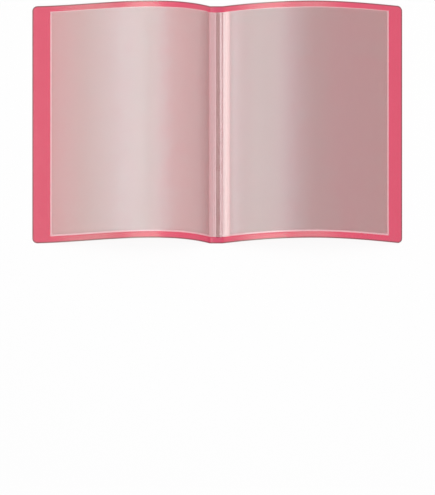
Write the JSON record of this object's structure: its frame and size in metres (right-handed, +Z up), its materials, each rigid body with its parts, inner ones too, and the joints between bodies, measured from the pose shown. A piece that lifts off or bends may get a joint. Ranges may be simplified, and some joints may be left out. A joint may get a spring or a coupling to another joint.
{
  "type": "display book",
  "caption": "A4 display book lying open: translucent arched covers, a scored spine and clear top-loading pockets that turn like pages.",
  "frame": {"origin": "middle of the spine's underside, where the open book lies on the table", "axes": "+X across the open book towards the back cover, +Y towards the top edge where the pockets open, +Z up"},
  "size_m": [0.4711, 0.31, 0.0373],
  "materials": {
    "cover_sheet": "translucent polypropylene sheet, satin gloss",
    "clear_film": "clear thin film with a slight haze",
    "weld": "ribbed welded film"
  },
  "bodies": {
    "back_cover": {"back_cover": "cover_sheet"},
    "spine": {"spine_panel": "cover_sheet", "weld_strip": "weld"},
    "front_cover": {"front_cover": "cover_sheet"},
    "right_tab_1": {"right_tab_1": "clear_film"},
    "right_pocket_1": {"right_pocket_1": "clear_film"},
    "left_leaf_1": {"left_tab_1": "clear_film", "left_pocket_1": "clear_film"},
    "right_tab_2": {"right_tab_2": "clear_film"},
    "right_pocket_2": {"right_pocket_2": "clear_film"},
    "left_leaf_2": {"left_tab_2": "clear_film", "left_pocket_2": "clear_film"},
    "right_tab_3": {"right_tab_3": "clear_film"},
    "right_pocket_3": {"right_pocket_3": "clear_film"},
    "left_leaf_3": {"left_tab_3": "clear_film", "left_pocket_3": "clear_film"},
    "right_tab_4": {"right_tab_4": "clear_film"},
    "right_pocket_4": {"right_pocket_4": "clear_film"},
    "left_leaf_4": {"left_tab_4": "clear_film", "left_pocket_4": "clear_film"},
    "right_tab_5": {"right_tab_5": "clear_film"},
    "right_pocket_5": {"right_pocket_5": "clear_film"},
    "left_leaf_5": {"left_tab_5": "clear_film", "left_pocket_5": "clear_film"}
  },
  "joints": [
    {"name": "spine_hinge", "type": "hinge", "parent": "back_cover", "child": "spine", "pos_m": [0.008, 0, 0.0003], "axis": [0, 1, 0], "range_deg": [0, 90], "deforming": ["back_cover", "right_tab_1", "right_pocket_1", "right_tab_2", "right_pocket_2", "right_tab_3", "right_pocket_3", "right_tab_4", "right_pocket_4", "right_tab_5", "right_pocket_5"]},
    {"name": "front_cover_hinge", "type": "hinge", "parent": "spine", "child": "front_cover", "pos_m": [-0.008, 0, 0.0003], "axis": [0, 1, 0], "range_deg": [0, 90], "deforming": ["front_cover", "left_tab_1", "left_pocket_1", "left_tab_2", "left_pocket_2", "left_tab_3", "left_pocket_3", "left_tab_4", "left_pocket_4", "left_tab_5", "left_pocket_5"]},
    {"name": "right_tab_hinge_1", "type": "hinge", "parent": "spine", "child": "right_tab_1", "pos_m": [0.00435, 0, 0.001], "axis": [0, 1, 0], "range_deg": [-90, 0]},
    {"name": "left_leaf_hinge_1", "type": "hinge", "parent": "spine", "child": "left_leaf_1", "pos_m": [0.00005, 0, 0.001], "axis": [0, 1, 0], "range_deg": [0, 90]},
    {"name": "right_tab_hinge_2", "type": "hinge", "parent": "spine", "child": "right_tab_2", "pos_m": [0.00435, 0, 0.0015], "axis": [0, 1, 0], "range_deg": [-90, 0]},
    {"name": "left_leaf_hinge_2", "type": "hinge", "parent": "spine", "child": "left_leaf_2", "pos_m": [0.00005, 0, 0.0015], "axis": [0, 1, 0], "range_deg": [0, 90]},
    {"name": "right_tab_hinge_3", "type": "hinge", "parent": "spine", "child": "right_tab_3", "pos_m": [0.00435, 0, 0.002], "axis": [0, 1, 0], "range_deg": [-90, 0]},
    {"name": "left_leaf_hinge_3", "type": "hinge", "parent": "spine", "child": "left_leaf_3", "pos_m": [0.00005, 0, 0.002], "axis": [0, 1, 0], "range_deg": [0, 90]},
    {"name": "right_tab_hinge_4", "type": "hinge", "parent": "spine", "child": "right_tab_4", "pos_m": [0.00435, 0, 0.0025], "axis": [0, 1, 0], "range_deg": [-90, 0]},
    {"name": "left_leaf_hinge_4", "type": "hinge", "parent": "spine", "child": "left_leaf_4", "pos_m": [0.00005, 0, 0.0025], "axis": [0, 1, 0], "range_deg": [0, 90]},
    {"name": "right_tab_hinge_5", "type": "hinge", "parent": "spine", "child": "right_tab_5", "pos_m": [0.00435, 0, 0.003], "axis": [0, 1, 0], "range_deg": [-90, 0]},
    {"name": "left_leaf_hinge_5", "type": "hinge", "parent": "spine", "child": "left_leaf_5", "pos_m": [0.00005, 0, 0.003], "axis": [0, 1, 0], "range_deg": [0, 90]},
    {"name": "page_turn", "type": "hinge", "parent": "right_tab_5", "child": "right_pocket_5", "pos_m": [0.01176, 0, 0.00539], "axis": [0, 1, 0], "range_deg": [-130, 0]},
    {"name": "page_turn_4", "type": "hinge", "parent": "right_tab_4", "child": "right_pocket_4", "pos_m": [0.01199, 0, 0.00494], "axis": [0, 1, 0], "range_deg": [-104, 0]},
    {"name": "page_turn_3", "type": "hinge", "parent": "right_tab_3", "child": "right_pocket_3", "pos_m": [0.01222, 0, 0.0045], "axis": [0, 1, 0], "range_deg": [-78, 0]},
    {"name": "page_turn_2", "type": "hinge", "parent": "right_tab_2", "child": "right_pocket_2", "pos_m": [0.01245, 0, 0.00405], "axis": [0, 1, 0], "range_deg": [-52, 0]},
    {"name": "page_turn_1", "type": "hinge", "parent": "right_tab_1", "child": "right_pocket_1", "pos_m": [0.01268, 0, 0.00361], "axis": [0, 1, 0], "range_deg": [-26, 0]}
  ],
  "couplings": [
    {"joint": "right_tab_hinge_1", "follows": "spine_hinge", "ratio": -1},
    {"joint": "left_leaf_hinge_1", "follows": "front_cover_hinge", "ratio": 1},
    {"joint": "right_tab_hinge_2", "follows": "spine_hinge", "ratio": -1},
    {"joint": "left_leaf_hinge_2", "follows": "front_cover_hinge", "ratio": 1},
    {"joint": "right_tab_hinge_3", "follows": "spine_hinge", "ratio": -1},
    {"joint": "left_leaf_hinge_3", "follows": "front_cover_hinge", "ratio": 1},
    {"joint": "right_tab_hinge_4", "follows": "spine_hinge", "ratio": -1},
    {"joint": "left_leaf_hinge_4", "follows": "front_cover_hinge", "ratio": 1},
    {"joint": "right_tab_hinge_5", "follows": "spine_hinge", "ratio": -1},
    {"joint": "left_leaf_hinge_5", "follows": "front_cover_hinge", "ratio": 1},
    {"joint": "page_turn_4", "follows": "page_turn", "ratio": 0.8},
    {"joint": "page_turn_3", "follows": "page_turn", "ratio": 0.6},
    {"joint": "page_turn_2", "follows": "page_turn", "ratio": 0.4},
    {"joint": "page_turn_1", "follows": "page_turn", "ratio": 0.2}
  ]
}
